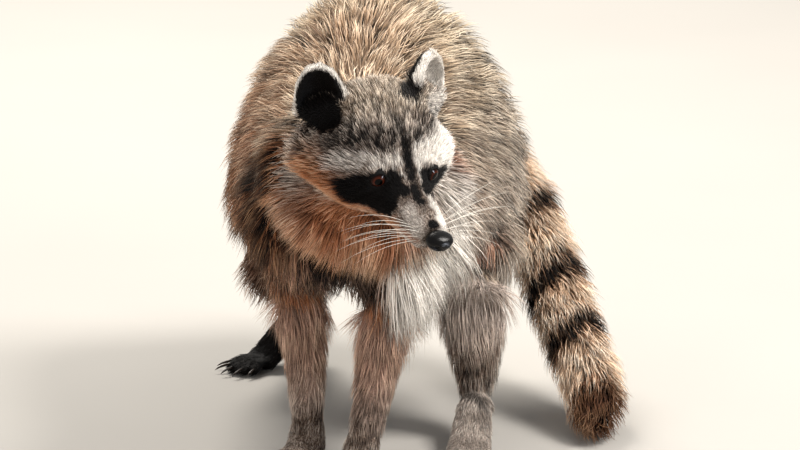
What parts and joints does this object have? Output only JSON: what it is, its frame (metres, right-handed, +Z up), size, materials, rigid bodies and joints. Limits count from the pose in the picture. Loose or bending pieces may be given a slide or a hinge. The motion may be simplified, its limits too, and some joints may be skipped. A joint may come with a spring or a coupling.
{
  "type": "raccoon",
  "caption": "Life-size standing raccoon with a masked face, a grizzled coat and a ringed tail, head turned to its left.",
  "frame": {"origin": "on the floor, under the middle of the bounding box", "axes": "+X to the animal's left, +Y from the nose towards the rump, +Z up"},
  "size_m": [0.3552, 0.4706, 0.3408],
  "materials": {
    "coat": "grizzled fur",
    "face": "short fur with a black mask",
    "tail": "ringed fur",
    "paws": "short dark fur",
    "eyes": "wet and dark brown",
    "nose": "moist black skin",
    "claws": "dark horn"
  },
  "bodies": {
    "root": {"trunk": "coat", "neck": "coat", "head": "face", "lower_jaw": "face", "nose": "nose", "eye_left": "eyes", "eye_right": "eyes", "ear_left": "face", "ear_right": "face", "tail_base": "tail", "tail_middle": "tail", "tail_tip": "tail", "upper_foreleg_left": "coat", "forearm_left": "coat", "forepaw_left": "paws", "thigh_left": "coat", "shank_left": "coat", "hindpaw_left": "paws", "claw_forepaw_left_1": "claws", "claw_forepaw_left_2": "claws", "claw_forepaw_left_3": "claws", "claw_forepaw_left_4": "claws", "claw_forepaw_left_5": "claws", "claw_hindpaw_left_1": "claws", "claw_hindpaw_left_2": "claws", "claw_hindpaw_left_3": "claws", "claw_hindpaw_left_4": "claws", "claw_hindpaw_left_5": "claws", "upper_foreleg_right": "coat", "forearm_right": "coat", "forepaw_right": "paws", "thigh_right": "coat", "shank_right": "coat", "hindpaw_right": "paws", "claw_forepaw_right_1": "claws", "claw_forepaw_right_2": "claws", "claw_forepaw_right_3": "claws", "claw_forepaw_right_4": "claws", "claw_forepaw_right_5": "claws", "claw_hindpaw_right_1": "claws", "claw_hindpaw_right_2": "claws", "claw_hindpaw_right_3": "claws", "claw_hindpaw_right_4": "claws", "claw_hindpaw_right_5": "claws"}
  },
  "joints": []
}
